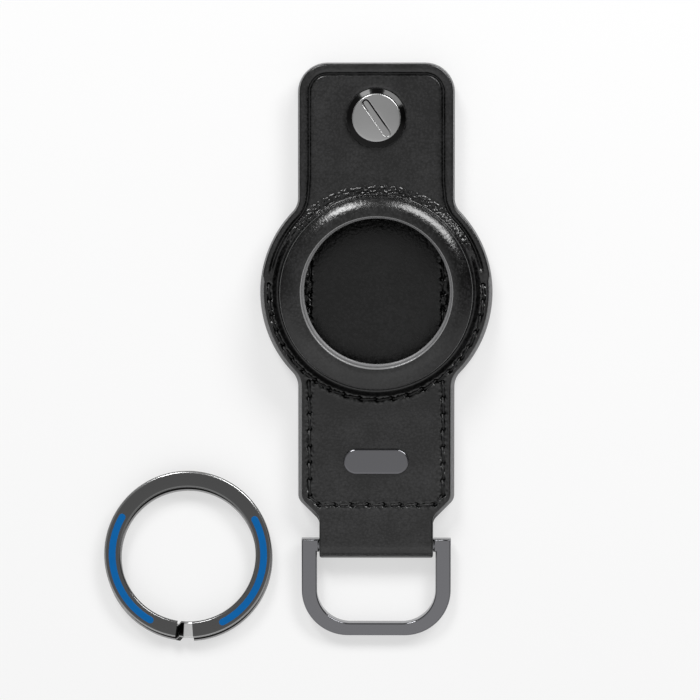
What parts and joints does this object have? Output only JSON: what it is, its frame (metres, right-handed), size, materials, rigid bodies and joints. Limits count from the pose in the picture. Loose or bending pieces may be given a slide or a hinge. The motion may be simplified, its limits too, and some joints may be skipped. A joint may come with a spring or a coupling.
{
  "type": "tracker tag holder",
  "caption": "Black leather holder for a round tracker tag, with a windowed pocket, a screw-closed flap, a D-ring and a loose split key ring.",
  "frame": {"origin": "on the flat back face, on the axis of the round pocket", "axes": "+Z out of the front through the window, +Y towards the tab with the screw, +X to the right seen from the front"},
  "size_m": [0.074, 0.1096, 0.0118],
  "materials": {
    "black_leather": "smooth, half gloss",
    "black_lining": "smooth, satin",
    "black_thread": "waxed thread",
    "gunmetal": "polished dark plating",
    "blue_enamel": "glossy enamel"
  },
  "bodies": {
    "holder": {"front_panel": "black_leather", "front_lining": "black_lining", "strap_loop": "black_leather", "back_strap": "black_leather", "back_panel": "black_leather", "pocket_lining": "black_lining", "screw_post": "gunmetal", "badge": "gunmetal", "badge_retainer": "gunmetal", "pocket_seam": "black_thread", "strap_seam": "black_thread", "floor_seam": "black_thread", "back_seam": "black_thread"},
    "flap": {"front_flap": "black_leather", "flap_lining": "black_lining"},
    "washer": {"screw_washer": "gunmetal"},
    "screw": {"closure_screw": "gunmetal"},
    "d_ring": {"d_ring": "gunmetal"},
    "key_ring": {"key_ring": "gunmetal", "enamel_left": "blue_enamel", "enamel_right": "blue_enamel"}
  },
  "joints": [
    {"name": "flap_open", "type": "hinge", "parent": "holder", "child": "flap", "pos_m": [0, 0.0024, 0.0118], "axis": [1, 0, 0], "range_deg": [0, 35]},
    {"name": "screw_lift", "type": "slide", "parent": "flap", "child": "washer", "axis": [0, 0, 1], "range_m": [0, 0.0021]},
    {"name": "screw_turn", "type": "hinge", "parent": "washer", "child": "screw", "pos_m": [0, 0.03291, 0.005], "axis": [0, 0, 1], "range_deg": [0, 1080]},
    {"name": "d_ring_swing", "type": "hinge", "parent": "holder", "child": "d_ring", "pos_m": [0, -0.04815, 0.0025], "axis": [-1, 0, 0], "range_deg": [-130, 145]},
    {"name": "key_ring_lift", "type": "slide", "parent": "holder", "child": "key_ring", "axis": [0, 0, 1], "range_m": [0, 0.05]}
  ],
  "couplings": [
    {"joint": "screw_turn", "follows": "screw_lift", "rad_per_m": 8976}
  ]
}
